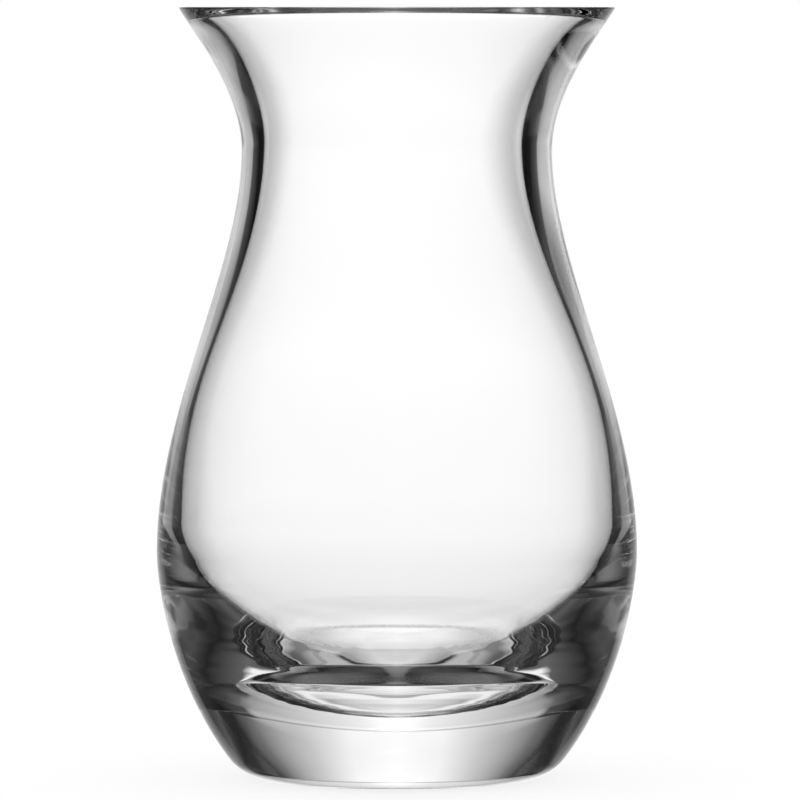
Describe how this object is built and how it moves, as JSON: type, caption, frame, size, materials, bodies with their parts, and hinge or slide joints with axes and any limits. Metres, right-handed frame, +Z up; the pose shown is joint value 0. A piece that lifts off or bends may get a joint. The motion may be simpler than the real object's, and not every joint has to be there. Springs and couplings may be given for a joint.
{
  "type": "posy vase",
  "caption": "Clear blown glass posy vase with a heavy solid base, a full belly, a drawn-in neck and a flared open mouth.",
  "frame": {"origin": "middle of the flat foot, on the surface that the vase stands on", "axes": "+Z up along the axis of revolution, towards the mouth; +X and +Y are alike, because the vase is round"},
  "size_m": [0.106, 0.106, 0.17],
  "materials": {
    "clear_glass": "clear, fire polished, with a cut and polished lip"
  },
  "bodies": {
    "root": {"vase_body": "clear_glass"}
  },
  "joints": []
}
